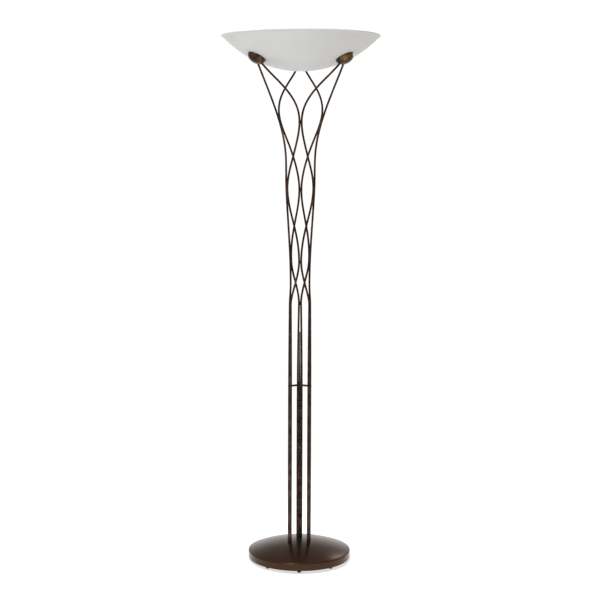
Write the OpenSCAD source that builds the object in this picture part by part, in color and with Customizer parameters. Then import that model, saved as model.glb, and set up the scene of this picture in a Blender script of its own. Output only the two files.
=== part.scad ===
// Torchiere floor lamp: an opal glass bowl, clasped by three bronze cups that stand on six
// woven rods, over a weighted domed base. Millimetres, +Z up, origin on the floor under the axis.
// Leg 1 is front left, leg 2 front right and leg 3 at the back. Each leg is a pair of tubes that
// leave it on either side, touch a tube of the next leg, come back, and so on up to the cups.

/* [Overall] */
// Height of the bowl's rim above the floor
lamp_h = 1800; // [1500:10:2160]

/* [Bowl] */
// Diameter of the bowl's rim
bowl_d = 534; // [445:1:645]
// Radius of the ball that the bowl is a slice of
bowl_ball_r = 360; // [335:1:440]
// Thickness of the glass
glass_t = 5; // [4:0.5:6]

/* [Cups] */
// Distance of each cup's centre from the lamp's axis
cup_at = 166.5; // [145:1:185]
// Diameter of a cup's mouth
cup_d = 63.5; // [56:0.1:80.5]
// Depth of a cup's dome
cup_depth = 21.5; // [18:0.5:26]
// Wall of a cup
cup_wall = 2; // [1.2:0.1:2.4]

/* [Woven rods] */
// Diameter of a rod
rod_d = 7; // [5.8:0.1:8.5]
// Wall of a rod's tube
rod_wall = 1; // [0.7:0.05:1.1]
// Distance of the straight legs from the lamp's axis
leg_at = 38.2; // [32:0.1:48]
// Outward lean of the rods where they reach the cups, in mm for each mm of height
flare = 0.38; // [0.3:0.01:0.5]
// Distance below the rim at which the upper neighbours touch
kiss_1_drop = 290; // [270:1:310]
// Distance below the rim at which the pairs come back together
kiss_2_drop = 517; // [500:1:540]
// Distance below the rim at which the neighbours touch again
kiss_3_drop = 757; // [735:1:775]
// Distance below the rim at which the pairs meet for good
kiss_4_drop = 906; // [890:1:925]

/* [Centre rods and spider] */
// Diameter of the rod between each pair
centre_rod_d = 6.6; // [5.5:0.1:8]
// Distance of the centre rods' tips below the pairs' last meeting
tip_drop = 99; // [90:1:190]
// Diameter of a centre rod's tip
centre_rod_tip_d = 2.8; // [2:0.1:3]
// Distance of the spider below the centre rods' tips
spider_drop = 180; // [120:5:230]
// Diameter of the spider's arms
spider_d = 7; // [5:0.1:8]

/* [Base] */
// Diameter of the base
base_d = 354; // [340:1:430]
// Height of the base's rim edge above the floor
rim_top = 38; // [36:0.5:44]
// Height of the dome's top above the floor
dome_top = 71; // [62:0.5:74]
// Wall of the base cover
cover_t = 2; // [1.5:0.1:2.5]
// Diameter of the iron weight
ballast_d = 300; // [250:1:304]
// Thickness of the iron weight
ballast_t = 20; // [18:0.5:21]
// Thickness of the base plate
plate_t = 3; // [2:0.5:4]
// Height of a foot
foot_h = 12; // [10:0.5:14]
// Diameter of a foot
foot_d = 13; // [11:0.5:16]
// Distance of the feet from the lamp's axis
foot_at = 151; // [146:0.5:154]
// Number of feet
foot_count = 8; // [6:1:9]

/* [Lamps] */
// Outer diameter of a lampholder
holder_d = 28; // [26:0.5:30]
// Diameter of a bulb's ball
bulb_d = 45; // [40:1:50]
// Diameter of a bulb's screw cap
bulb_cap_d = 13.9; // [13.5:0.05:14.2]
// Length of a bulb from its tip to the top of its ball
bulb_l = 78; // [72:1:84]
// Diameter of the lead to each lampholder
lead_d = 3.6; // [3:0.1:3.8]

/* [Cord inlet] */
// Bore of the gland for a mains cord
gland_bore_d = 7.4; // [6.5:0.1:8]
// Height of the gland above the floor
gland_z = 25; // [24:0.5:26]

/* [Fits] */
// Gap between two rods where they touch
kiss_gap = 0.3; // [0.2:0.05:0.5]
// Gap between a rod and the two beside it
row_gap = 0.2; // [0.1:0.05:0.3]
// Radial clearance of a rod in its hole
rod_clear = 0.3; // [0.2:0.05:0.5]
// Radial clearance of a rod in its slanted hole in a cup
cup_hole_clear = 0.6; // [0.4:0.05:0.8]
// Radial clearance of a screw in its hole
screw_clear = 0.2; // [0.1:0.05:0.4]
// Radial clearance of the threads that turn
thread_clear = 0.05; // [0.02:0.01:0.08]
// Gap between pieces that face each other but turn apart
face_gap = 0.4; // [0.3:0.05:0.6]
// Radial clearance of a piece that seats in a pocket
seat_clear = 0.25; // [0.15:0.05:0.4]

/* [Hidden] */
$fn = 64;
leg_angle = [210, 330, 90];
bronze = "#4b3a2c";
opal = "#d6d5d2";
iron = "#3a3a3c";
zinc = "#b9bcc0";
brass = "#c2a14e";
black = "#232323";
cream = "#e8e2d2";

// Bowl and cups
ball_z = lamp_h + sqrt(pow(bowl_ball_r, 2) - pow(bowl_d / 2, 2));
cup_tilt = asin(cup_at / bowl_ball_r);
cup_z = ball_z - bowl_ball_r * cos(cup_tilt);
glass_hole_r = holder_d / 2 + 1;
bead_r = glass_t / 2 + 0.5;

// Pieces in a cup are placed along its axis, which points into the bowl from the glass's outside
strap_t = 1.5;
strap_w = 12;
holder_foot = -7;
holder_top = 26;
flange_d = 40;
flange_top = -1.1;
flange_t = 2;
socket_floor = -2;
socket_r = 5;
sleeve_low = 3;
sleeve_high = 24;
sleeve_t = 0.6;
sleeve_r = bulb_cap_d / 2 + thread_clear;
contact_t = 1;
bulb_tip = socket_floor + contact_t + face_gap;
cap_top = 22;
washer_t = 1.2;
shade_ring_t = 5;
shade_ring_d = 43;
washer_d = 40;
holder_screw_r = 1.5;
holder_screw_at = 9;
wire_hole = [-8.5, 5];
wire_hole_r = lead_d / 2 + 0.6;

// Depth of a ball's surface below its top at a distance from its axis
function sag(ball, away) = ball - sqrt(ball * ball - away * away);

// Where a rod ends inside its cup: towards the axis, to the side, and down from the glass
entry_in = 17;
entry_side = 12;
entry_deep = 12;
entry_r = cup_at - entry_in * cos(cup_tilt) + entry_deep * sin(cup_tilt);
entry_z = cup_z - entry_in * sin(cup_tilt) - entry_deep * cos(cup_tilt);
entry_face = entry_r * cos(30) + entry_side * sin(30);
entry_swing = entry_side * cos(30) - entry_r * sin(30);

// Heights of the weave
kiss_1 = lamp_h - kiss_1_drop;
kiss_2 = lamp_h - kiss_2_drop;
kiss_3 = lamp_h - kiss_3_drop;
kiss_4 = lamp_h - kiss_4_drop;
flare_from = lamp_h - 405;
waist_z = lamp_h - 840;
belly_r = 47;
waist_r = 32;
flare_r = 49.3;
pair_close = rod_d + kiss_gap;
pair_wide = rod_d + centre_rod_d + 2 * row_gap;
row_top = kiss_4 - 334;
centre_rod_top = kiss_4 - tip_drop;
spider_z = centre_rod_top - spider_drop;

// Base
base_r = base_d / 2;
plate_z = foot_h;
ballast_z = plate_z + plate_t;
ballast_top = ballast_z + ballast_t;
cover_low = foot_h;
rim_round = 4;
dome_rise = dome_top - rim_top;
dome_r = base_r - rim_round;
dome_ball_r = (dome_r * dome_r + dome_rise * dome_rise) / (2 * dome_rise);
rod_foot_z = dome_top - 14;
plate_r = base_r - cover_t - seat_clear;
post_r = 4;
post_at = (ballast_d / 2 + base_r - cover_t) / 2;
post_screw_r = 2;
stud_r = 3;
nut_pocket_r = 9;
nut_pocket_h = 9;
block_r = 16;
block_h = 13;
block_gap = 0.1;
lead_low = ballast_top + 6;
lead_bend = rod_foot_z - lead_low;

function unit(v) = v / norm(v);
function turn(p, a) = [p[0] * cos(a) - p[1] * sin(a), p[0] * sin(a) + p[1] * cos(a), p[2]];

// A smooth curve from (z0, r0) to (z1, r1) that has slopes s0 and s1 at its ends
function ease(z, z0, r0, s0, z1, r1, s1) =
    let (l = z1 - z0, t = (z - z0) / l)
    r0 * (2 * pow(t, 3) - 3 * t * t + 1) + r1 * (3 * t * t - 2 * pow(t, 3))
    + l * (s0 * (pow(t, 3) - 2 * t * t + t) + s1 * (pow(t, 3) - t * t));

// Centre distance of the two rods of a pair: wider below, where a centre rod comes between them
function pair_gap(z) =
    z > kiss_4 ? pair_close
    : z < row_top ? pair_wide
    : pair_close + (pair_wide - pair_close) * sin(90 * (kiss_4 - z) / (kiss_4 - row_top));

// Distance from the axis of the upright plane, one of six, that a rod weaves in
function face_r(z) =
    z <= kiss_4 ? leg_at * cos(30) + pair_gap(z) / 4
    : z <= waist_z ? ease(z, kiss_4, leg_at * cos(30) + pair_close / 4, 0, waist_z, waist_r, 0)
    : z <= kiss_2 ? ease(z, waist_z, waist_r, 0, kiss_2, belly_r, 0.045)
    : z <= flare_from ? ease(z, kiss_2, belly_r, 0.045, flare_from, flare_r, 0.05)
    : ease(z, flare_from, flare_r, 0.05, entry_z, entry_face, flare);

// How far a rod can swing sideways in its plane before it touches its neighbour
function reach(z) = face_r(z) * tan(30) - pair_gap(z) / (2 * cos(30));

// Side on which a rod is: -1 beside the other rod of its pair, +1 beside the next pair's rod
entry_phase = acos(entry_swing / reach(entry_z));
function side(z) =
    z > kiss_1 ? cos(entry_phase * (z - kiss_1) / (entry_z - kiss_1))
    : z > kiss_2 ? -cos(180 * (z - kiss_2) / (kiss_1 - kiss_2))
    : z > kiss_3 ? cos(180 * (z - kiss_3) / (kiss_2 - kiss_3))
    : z > kiss_4 ? -cos(180 * (z - kiss_4) / (kiss_3 - kiss_4))
    : -1;

// A rod's axis in its leg's own frame: outwards, to the side, and up
function rod_point(z, hand) =
    let (f = face_r(z), w = side(z) * reach(z))
    [f * cos(30) - w * sin(30), hand * (f * sin(30) + w * cos(30)), z];

// Heights of the rings that make up a rod: few where it is straight, closer in the weave
row_steps = 6;
weave_steps = 34;
rod_levels = concat(
    [rod_foot_z],
    [for (i = [0:row_steps - 1]) row_top + (kiss_4 - row_top) * i / row_steps],
    [for (i = [0:weave_steps]) kiss_4 + (entry_z - kiss_4) * i / weave_steps]);

function rod_path(leg, hand) = [for (z = rod_levels) turn(rod_point(z, hand), leg_angle[leg])];

// Direction in which a rod runs into its cup, in the cup's frame
entry_step = rod_point(entry_z, 1) - rod_point(entry_z - 2, 1);
entry_dir = unit([
    entry_step[0] * cos(cup_tilt) + entry_step[2] * sin(cup_tilt),
    entry_step[1],
    entry_step[2] * cos(cup_tilt) - entry_step[0] * sin(cup_tilt)]);

// A point of the cup's frame in its leg's frame
function from_cup(p) = [
    cup_at + p[0] * cos(cup_tilt) - p[2] * sin(cup_tilt),
    p[1],
    cup_z + p[0] * sin(cup_tilt) + p[2] * cos(cup_tilt)];

function path_dir(path, i) =
    unit(path[min(i + 1, len(path) - 1)] - path[max(i - 1, 0)]);

function path_ring(path, i, flat, r, sides) =
    let (d = path_dir(path, i), u = unit(cross(d, flat)), v = cross(d, u))
    [for (j = [0:sides - 1]) path[i] + r * (cos(360 * j / sides) * u + sin(360 * j / sides) * v)];

// Two triangles for each side of each stretch; from is the number of the skin's first point
function skin(from, rings, sides, inward) = [
    for (i = [0:rings - 2], j = [0:sides - 1])
        let (a = from + i * sides + j, b = from + i * sides + (j + 1) % sides, c = b + sides, d = a + sides)
        each inward ? [[a, b, c], [a, c, d]] : [[a, c, b], [a, d, c]]];

// A round bar along a path; flat is a direction that the path never runs along
module bar(path, flat, r, sides) {
    n = len(path);
    points = [for (i = [0:n - 1]) each path_ring(path, i, flat, r, sides)];
    low = [[for (j = [0:sides - 1]) j]];
    high = [[for (j = [sides - 1:-1:0]) (n - 1) * sides + j]];
    polyhedron(points, concat(skin(0, n, sides, false), low, high), convexity = 10);
}

// A tube along a path, with the same number of sides inside as outside
module tube(path, flat, r, wall, sides) {
    n = len(path);
    outer = [for (i = [0:n - 1]) each path_ring(path, i, flat, r, sides)];
    inner = [for (i = [0:n - 1]) each path_ring(path, i, flat, r - wall, sides)];
    m = n * sides;
    low = [for (j = [0:sides - 1]) let (k = (j + 1) % sides) each [[j, k, m + k], [j, m + k, m + j]]];
    top = (n - 1) * sides;
    high = [for (j = [0:sides - 1]) let (k = (j + 1) % sides)
        each [[top + j, m + top + k, top + k], [top + j, m + top + j, m + top + k]]];
    polyhedron(concat(outer, inner),
        concat(skin(0, n, sides, false), skin(m, n, sides, true), low, high), convexity = 10);
}

module at_leg(leg) rotate([0, 0, leg_angle[leg]]) children();

module at_cup(leg) at_leg(leg) translate([cup_at, 0, cup_z]) rotate([0, -cup_tilt, 0]) children();

module at_each_leg() for (leg = [0:2]) at_leg(leg) children();

// Halfway between two legs
module at_each_gap() for (leg = [0:2]) rotate([0, 0, leg_angle[leg] + 60]) children();

module at_each_cup() for (leg = [0:2]) at_cup(leg) children();

module ring(outer_r, inner_r, h) difference() {
    cylinder(r = outer_r, h = h);
    translate([0, 0, -1]) cylinder(r = inner_r, h = h + 2);
}

// A cylinder from a point along a direction
module along(p, v, r, h) translate(p) rotate([0, acos(v[2]), atan2(v[1], v[0])]) cylinder(r = r, h = h);

// A pan-head screw, head down, whose head meets the surface at z = 0
module screw_up(r, length, head_r, head_h) {
    cylinder(r = r, h = length);
    translate([0, 0, -head_h]) cylinder(r = head_r, h = head_h);
}

// Base -------------------------------------------------------------------------------------

// Outline of the spun cover at a depth below its outer skin, from the rim's edge to the axis
cover_steps = 24;
function dome_z(r, deep) = dome_top - dome_ball_r + sqrt(pow(dome_ball_r - deep, 2) - r * r);
function cover_outline(deep) =
    let (edge = base_r - deep, round_r = rim_round - deep, corner = dome_z(dome_r, 0) - rim_round)
    concat([[edge, cover_low]],
        [for (i = [0:4]) [dome_r + round_r * cos(20 * i), corner + round_r * sin(20 * i)]],
        [for (i = [1:cover_steps]) let (r = dome_r * (1 - i / cover_steps)) [r, dome_z(r, deep)]]);

module base_cover() color(bronze) {
    skin_out = cover_outline(0);
    skin_in = cover_outline(cover_t);
    difference() {
        union() {
            rotate_extrude($fn = 128)
                polygon(concat(skin_out, [for (i = [len(skin_in) - 1:-1:0]) skin_in[i]]));
            at_each_gap() translate([post_at, 0, ballast_z])
                cylinder(r = post_r, h = dome_z(post_at + post_r, 1) - ballast_z);
        }
        at_each_leg() {
            for (hand = [-1, 1]) translate([rod_point(rod_foot_z, hand)[0], rod_point(rod_foot_z, hand)[1], 0])
                cylinder(r = rod_d / 2 + rod_clear, h = dome_top + 1);
            translate([leg_at, 0, 0]) cylinder(r = centre_rod_d / 2 + rod_clear, h = dome_top + 1);
        }
        at_each_gap() translate([post_at, 0, 0])
            cylinder(r = post_screw_r + screw_clear, h = ballast_z + 12);
        translate([0, base_r - 10, gland_z]) rotate([-90, 0, 0]) cylinder(r = gland_neck_r + seat_clear, h = 20);
    }
}

module ballast() color(iron) difference() {
    translate([0, 0, ballast_z]) cylinder(d = ballast_d, h = ballast_t, $fn = 128);
    at_each_leg() translate([leg_at, 0, 0]) {
        cylinder(r = stud_r + screw_clear, h = ballast_top + 1);
        cylinder(r = nut_pocket_r, h = ballast_z + nut_pocket_h);
    }
    at_each_gap() translate([plate_screw_at, 0, 0])
        cylinder(r = plate_screw_r + screw_clear, h = ballast_z + 14);
    translate([-notch_w / 2, ballast_d / 2 - notch_l, 0]) cube([notch_w, notch_l + 1, ballast_top + 1]);
    at_each_gap() translate([block_screw_at, 0, ballast_top - 8])
        cylinder(r = block_screw_r + screw_clear, h = 9);
    translate([clip_screw[0], clip_screw[1], ballast_top - 8]) cylinder(r = clip_screw_r + screw_clear, h = 9);
    translate([earth_at[0], earth_at[1], ballast_top - 8]) cylinder(r = earth_r + screw_clear, h = 9);
}

plate_screw_at = 95;
plate_screw_r = 2.5;
notch_w = 16;
notch_l = 24;
block_screw_at = 10;
block_screw_r = 1.5;
clip_at = 96;
clip_w = 10;
clip_t = 1.5;
clip_screw = [12, clip_at];
clip_screw_r = 2;
earth_at = [30, 62];
earth_r = 2;
foot_screw_r = 2;
foot_screw_head_r = 3.6;

module base_plate() color(iron) difference() {
    translate([0, 0, plate_z]) cylinder(r = plate_r, h = plate_t, $fn = 128);
    at_each_gap() {
        translate([post_at, 0, 0]) cylinder(r = post_screw_r + screw_clear, h = ballast_z + 1);
        translate([plate_screw_at, 0, 0]) cylinder(r = plate_screw_r + screw_clear, h = ballast_z + 1);
    }
    at_each_foot() translate([0, 0, plate_z - 1]) cylinder(r = foot_screw_r + screw_clear, h = plate_t + 2);
}

module at_each_foot() for (i = [0:foot_count - 1]) rotate([0, 0, 270 + 360 * i / foot_count])
    translate([foot_at, 0, 0]) children();

module feet() color(black) at_each_foot() difference() {
    cylinder(d = foot_d, h = foot_h);
    translate([0, 0, -1]) cylinder(r = foot_screw_head_r + 0.4, h = 6);
    cylinder(r = foot_screw_r + screw_clear, h = foot_h + 1);
}

module foot_screws() color(zinc) at_each_foot() translate([0, 0, 5])
    screw_up(foot_screw_r, foot_h + plate_t - 5.5, foot_screw_head_r, 2.4);

module plate_screws() color(zinc) at_each_gap()
    translate([plate_screw_at, 0, plate_z]) screw_up(plate_screw_r, plate_t + 12, 4.75, 3);

module cover_screws() color(zinc) at_each_gap()
    translate([post_at, 0, plate_z]) screw_up(post_screw_r, plate_t + 10, 3.8, 2.6);

module stud_washers() color(zinc) at_each_leg()
    translate([leg_at, 0, ballast_z + nut_pocket_h - 1.6]) ring(6.2, stud_r + screw_clear, 1.6);

module stud_nuts() color(zinc) at_each_leg() translate([leg_at, 0, ballast_z + nut_pocket_h - 6.8])
    difference() {
        cylinder(d = 11.5, h = 5, $fn = 6);
        translate([0, 0, -1]) cylinder(r = stud_r + 0.05, h = 7);
    }

// Cord inlet: a bush through the rim with a flange outside and a nut inside
gland_neck_r = gland_bore_d / 2 + 2.3;
gland_flange_r = gland_neck_r + 2;
gland_in = 15;
gland_out = 3;
gland_face = sqrt(pow(base_r, 2) - pow(gland_flange_r, 2));

module along_y(from, r, h) translate([0, from, gland_z]) rotate([-90, 0, 0]) cylinder(r = r, h = h);

module cord_gland() color(black) difference() {
    union() {
        along_y(base_r - gland_in, gland_neck_r, gland_in + gland_out);
        along_y(base_r + seat_clear, gland_flange_r, gland_out - seat_clear);
    }
    along_y(base_r - gland_in - 1, gland_bore_d / 2, gland_in + gland_out + 2);
}

module gland_nut() color(black) difference() {
    translate([0, gland_face - cover_t - seat_clear - 5, gland_z]) rotate([-90, 0, 0])
        cylinder(d = 2 * gland_neck_r + 5, h = 5, $fn = 6);
    along_y(base_r - gland_in - 1, gland_neck_r + 0.05, gland_in);
}

// A bent strap screwed to the weight, which holds the cord's end
module cord_clip() color(zinc) difference() {
    union() {
        translate([0, clip_at - clip_w / 2, ballast_top + gland_bore_d / 2 + clip_t]) rotate([-90, 0, 0])
            cylinder(r = gland_bore_d / 2 + clip_t, h = clip_w);
        translate([0, clip_at - clip_w / 2, ballast_top]) cube([18, clip_w, clip_t]);
    }
    translate([0, clip_at - clip_w, ballast_top + gland_bore_d / 2 + clip_t]) rotate([-90, 0, 0])
        cylinder(r = gland_bore_d / 2, h = 2 * clip_w);
    translate([clip_screw[0], clip_screw[1], 0]) cylinder(r = clip_screw_r + screw_clear, h = ballast_top + 4);
}

module clip_screw() color(zinc) translate([clip_screw[0], clip_screw[1], ballast_top + clip_t])
    mirror([0, 0, 1]) screw_up(clip_screw_r, clip_t + 6, 3.6, 2.4);

module earth_screw() color(brass) translate([earth_at[0], earth_at[1], ballast_top])
    mirror([0, 0, 1]) screw_up(earth_r, 6, 3.8, 2.6);

// Round junction block in the middle of the weight, with a way in for the lead of each leg
module junction_block() color(cream) difference() {
    translate([0, 0, ballast_top + block_gap]) cylinder(r = block_r, h = block_h);
    at_each_leg() translate([6, rod_point(rod_foot_z, 1)[1], lead_low]) rotate([0, 90, 0])
        cylinder(r = lead_d / 2 + 0.4, h = block_r);
    at_each_gap() translate([block_screw_at, 0, ballast_top])
        cylinder(r = block_screw_r + screw_clear, h = block_h + 1);
}

module block_screws() color(zinc) at_each_gap()
    translate([block_screw_at, 0, ballast_top + block_gap + block_h])
        mirror([0, 0, 1]) screw_up(block_screw_r, block_h + 6, 2.8, 2);

// Stem -------------------------------------------------------------------------------------

rod_sides = 12;

module weave_rod(leg, hand) color(bronze)
    tube(rod_path(leg, hand), turn([0, 1, 0], leg_angle[leg]), rod_d / 2, rod_wall, rod_sides);

module weave_rod_1() weave_rod(0, -1);
module weave_rod_2() weave_rod(0, 1);
module weave_rod_3() weave_rod(1, -1);
module weave_rod_4() weave_rod(1, 1);
module weave_rod_5() weave_rod(2, -1);
module weave_rod_6() weave_rod(2, 1);

rivet_hole_r = 1.8;
rivet_clear = 0.1;
hub_proud = 1.2;
taper_l = 195;

module centre_rod(leg) color(bronze) at_leg(leg) translate([leg_at, 0, 0]) difference() {
    union() {
        translate([0, 0, ballast_z + 1.5]) cylinder(r = stud_r, h = ballast_t);
        translate([0, 0, ballast_top]) cylinder(d = centre_rod_d, h = centre_rod_top - taper_l - ballast_top);
        translate([0, 0, centre_rod_top - taper_l])
            cylinder(d1 = centre_rod_d, d2 = centre_rod_tip_d, h = taper_l);
    }
    translate([-10, 0, spider_z]) rotate([0, 90, 0]) cylinder(r = rivet_hole_r, h = 20);
}

module centre_rod_1() centre_rod(0);
module centre_rod_2() centre_rod(1);
module centre_rod_3() centre_rod(2);

// Three arms welded to a small ball at the axis, each with a thin end that goes through a centre rod
module leg_spider() color(bronze) translate([0, 0, spider_z]) {
    sphere(r = spider_d / 2 + hub_proud);
    at_each_leg() rotate([0, 90, 0]) {
        translate([0, 0, 1]) cylinder(d = spider_d, h = leg_at - centre_rod_d / 2 - row_gap - 1);
        translate([0, 0, 1]) cylinder(r = rivet_hole_r - rivet_clear, h = leg_at + centre_rod_d / 2);
    }
}

// Domed caps pressed on the arms' ends, outside the legs
module spider_caps() color(bronze) translate([0, 0, spider_z]) at_each_leg()
    translate([leg_at + centre_rod_d / 2 + row_gap, 0, 0]) rotate([0, 90, 0]) difference() {
        rotate_extrude() polygon([[0, 0], [3.2, 0], [3.2, 1.8], [2.8, 3.2], [1.9, 4.2], [0, 4.8]]);
        translate([0, 0, -1]) cylinder(r = rivet_hole_r - rivet_clear + 0.05, h = 2);
    }

// Bowl and cups ----------------------------------------------------------------------------

module glass_bowl() color(opal) difference() {
    rotate_extrude($fn = 160) union() {
        intersection() {
            translate([0, ball_z]) difference() {
                circle(r = bowl_ball_r, $fn = 360);
                circle(r = bowl_ball_r - glass_t, $fn = 360);
            }
            translate([0, lamp_h - bowl_ball_r - bead_r]) square([bowl_d, bowl_ball_r]);
        }
        translate([bowl_d / 2 - bead_r, lamp_h - bead_r]) circle(r = bead_r, $fn = 32);
    }
    at_each_cup() translate([0, 0, -5]) cylinder(r = glass_hole_r, h = glass_t + 10);
}

// Half of an oval, from the mouth to the bottom of a dome
function dome_half(r, deep, steps) =
    [for (i = [0:steps]) let (a = 90 * i / steps) [r * cos(a), -deep * sin(a)]];

cup_rim = sag(bowl_ball_r, cup_d / 2 - cup_wall) - kiss_gap;

module cup(leg) color(bronze) at_cup(leg) difference() {
    rotate_extrude() polygon(concat(
        [[cup_d / 2, cup_rim]], dome_half(cup_d / 2, cup_depth, 12),
        [for (i = [10:-1:0]) dome_half(cup_d / 2 - cup_wall, cup_depth - cup_wall, 10)[i]],
        [[cup_d / 2 - cup_wall, cup_rim]]));
    for (hand = [-1, 1]) along([-entry_in, hand * entry_side, -entry_deep] + 3 * hand_dir(hand),
        -hand_dir(hand), rod_d / 2 + cup_hole_clear, 30);
}

function hand_dir(hand) = [entry_dir[0], hand * entry_dir[1], entry_dir[2]];

module cup_1() cup(0);
module cup_2() cup(1);
module cup_3() cup(2);

// A flat strap welded across each cup, to which the lampholder is screwed
strap_l = 2 * sqrt(pow((cup_d / 2 - cup_wall) * sqrt(1 - pow((strap_t - holder_foot) / (cup_depth - cup_wall), 2)), 2)
    - pow(strap_w / 2, 2)) - 2 * seat_clear;

module cup_straps() color(zinc) at_each_cup() translate([0, 0, holder_foot - strap_t]) difference() {
    translate([-strap_w / 2, -strap_l / 2, 0]) cube([strap_w, strap_l, strap_t]);
    for (s = [-1, 1]) translate([0, s * holder_screw_at, -1])
        cylinder(r = holder_screw_r + screw_clear, h = strap_t + 2);
}

module holder_screws() color(zinc) at_each_cup() for (s = [-1, 1])
    translate([0, s * holder_screw_at, holder_foot - strap_t])
        screw_up(holder_screw_r, strap_t + 5, 2.6, 1.6);

module bowl_gaskets() color(black) at_each_cup() translate([0, 0, flange_top])
    ring(flange_d / 2, holder_d / 2 + seat_clear, sag(bowl_ball_r, holder_d / 2) - flange_top - 0.02);

washer_low = glass_t + sag(bowl_ball_r - glass_t, washer_d / 2) + 0.15;

module ring_washers() color(black) at_each_cup() translate([0, 0, washer_low])
    ring(washer_d / 2, holder_d / 2 + seat_clear, washer_t);

module lampholder(leg) color(black) at_cup(leg) difference() {
    union() {
        translate([0, 0, holder_foot]) cylinder(d = holder_d, h = holder_top - holder_foot);
        translate([0, 0, flange_top - flange_t]) cylinder(d = flange_d, h = flange_t);
    }
    translate([0, 0, socket_floor]) cylinder(r = socket_r, h = holder_top);
    translate([0, 0, sleeve_low]) cylinder(r = sleeve_r + sleeve_t + 0.1, h = holder_top);
    for (s = [-1, 1]) translate([0, s * holder_screw_at, holder_foot - 1])
        cylinder(r = holder_screw_r + 0.05, h = 7);
    translate([wire_hole[0], wire_hole[1], holder_foot - 1]) cylinder(r = wire_hole_r, h = 7);
}

module lampholder_1() lampholder(0);
module lampholder_2() lampholder(1);
module lampholder_3() lampholder(2);

module screw_sleeve(leg) color(brass) at_cup(leg) translate([0, 0, sleeve_low])
    ring(sleeve_r + sleeve_t, sleeve_r, sleeve_high - sleeve_low);

module screw_sleeve_1() screw_sleeve(0);
module screw_sleeve_2() screw_sleeve(1);
module screw_sleeve_3() screw_sleeve(2);

module centre_contacts() color(brass) at_each_cup()
    translate([0, 0, socket_floor]) cylinder(r = 4.5, h = contact_t);

// A ribbed ring that screws down the lampholder and clamps the glass
shade_ring_low = washer_low + washer_t + face_gap;
grip_count = 12;

module shade_ring(leg) color(black) at_cup(leg) translate([0, 0, shade_ring_low]) difference() {
    ring(shade_ring_d / 2, holder_d / 2 + thread_clear, shade_ring_t);
    for (i = [0:grip_count - 1]) rotate([0, 0, 360 * i / grip_count])
        translate([shade_ring_d / 2 + 1.2, 0, -1]) cylinder(r = 2.4, h = shade_ring_t + 2, $fn = 24);
}

module shade_ring_1() shade_ring(0);
module shade_ring_2() shade_ring(1);
module shade_ring_3() shade_ring(2);

// Bulb: a thin glass ball on a tapered neck, and its screw cap with an insulator and a tip
neck_r = bulb_cap_d / 2 - 0.45;
bulb_wall = 1;
ball_mid = bulb_tip + bulb_l - bulb_d / 2;
neck_turn = 50;

function bulb_half(deep) = concat(
    [[neck_r - deep, cap_top], [neck_r + 0.3 - deep, cap_top + 6]],
    [for (i = [0:14]) let (a = -neck_turn + (90 + neck_turn) * i / 14)
        [(bulb_d / 2 - deep) * cos(a), ball_mid + (bulb_d / 2 - deep) * sin(a)]]);

module bulb_glass(leg) color(opal) at_cup(leg) rotate_extrude()
    polygon(concat(bulb_half(0), [for (i = [16:-1:0]) bulb_half(bulb_wall)[i]]));

module bulb_glass_1() bulb_glass(0);
module bulb_glass_2() bulb_glass(1);
module bulb_glass_3() bulb_glass(2);

module bulb_cap(leg) color(zinc) at_cup(leg) rotate_extrude() polygon([
    [0, bulb_tip], [1.8, bulb_tip], [2.4, bulb_tip + 1.4], [socket_r - 0.5, bulb_tip + 2],
    [socket_r - 0.5, sleeve_low], [bulb_cap_d / 2, sleeve_low + 2], [bulb_cap_d / 2, cap_top],
    [0, cap_top]]);

module bulb_cap_1() bulb_cap(0);
module bulb_cap_2() bulb_cap(1);
module bulb_cap_3() bulb_cap(2);

// Leads ------------------------------------------------------------------------------------

// From the junction block, round a bend, up the leg's second tube and into the lampholder
bend_steps = 5;
function lead_path(leg) =
    let (foot = rod_point(rod_foot_z, 1), tip = [-entry_in, entry_side, -entry_deep])
    [for (p = concat(
        [[block_r - 6, foot[1], lead_low]],
        [for (i = [0:bend_steps]) let (a = 90 * i / bend_steps)
            [foot[0] - lead_bend * (1 - sin(a)), foot[1], lead_low + lead_bend * (1 - cos(a))]],
        [for (i = [1:len(rod_levels) - 2]) rod_point(rod_levels[i], 1)],
        [from_cup(tip), from_cup(tip + 5 * hand_dir(1)),
            from_cup([wire_hole[0] - 0.6, wire_hole[1] + 0.5, holder_foot - 1.4]),
            from_cup([wire_hole[0], wire_hole[1], holder_foot + 3])]
    )) turn(p, leg_angle[leg])];

module lead(leg) color(cream)
    bar(lead_path(leg), turn([0, 1, 0], leg_angle[leg]), lead_d / 2, 8);

module lead_1() lead(0);
module lead_2() lead(1);
module lead_3() lead(2);

base_cover();
ballast();
base_plate();
feet();
foot_screws();
plate_screws();
cover_screws();
stud_washers();
stud_nuts();
cord_gland();
gland_nut();
cord_clip();
clip_screw();
junction_block();
block_screws();
earth_screw();
weave_rod_1();
weave_rod_2();
weave_rod_3();
weave_rod_4();
weave_rod_5();
weave_rod_6();
centre_rod_1();
centre_rod_2();
centre_rod_3();
leg_spider();
spider_caps();
glass_bowl();
cup_1();
cup_2();
cup_3();
cup_straps();
holder_screws();
bowl_gaskets();
ring_washers();
lampholder_1();
lampholder_2();
lampholder_3();
screw_sleeve_1();
screw_sleeve_2();
screw_sleeve_3();
centre_contacts();
shade_ring_1();
shade_ring_2();
shade_ring_3();
bulb_glass_1();
bulb_glass_2();
bulb_glass_3();
bulb_cap_1();
bulb_cap_2();
bulb_cap_3();
lead_1();
lead_2();
lead_3();
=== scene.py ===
"""Torchiere floor lamp: an opal bowl in three bronze cups on six woven rods over a domed base."""
import math

import bmesh
import bpy
import numpy as np
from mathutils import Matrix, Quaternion, Vector


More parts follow.
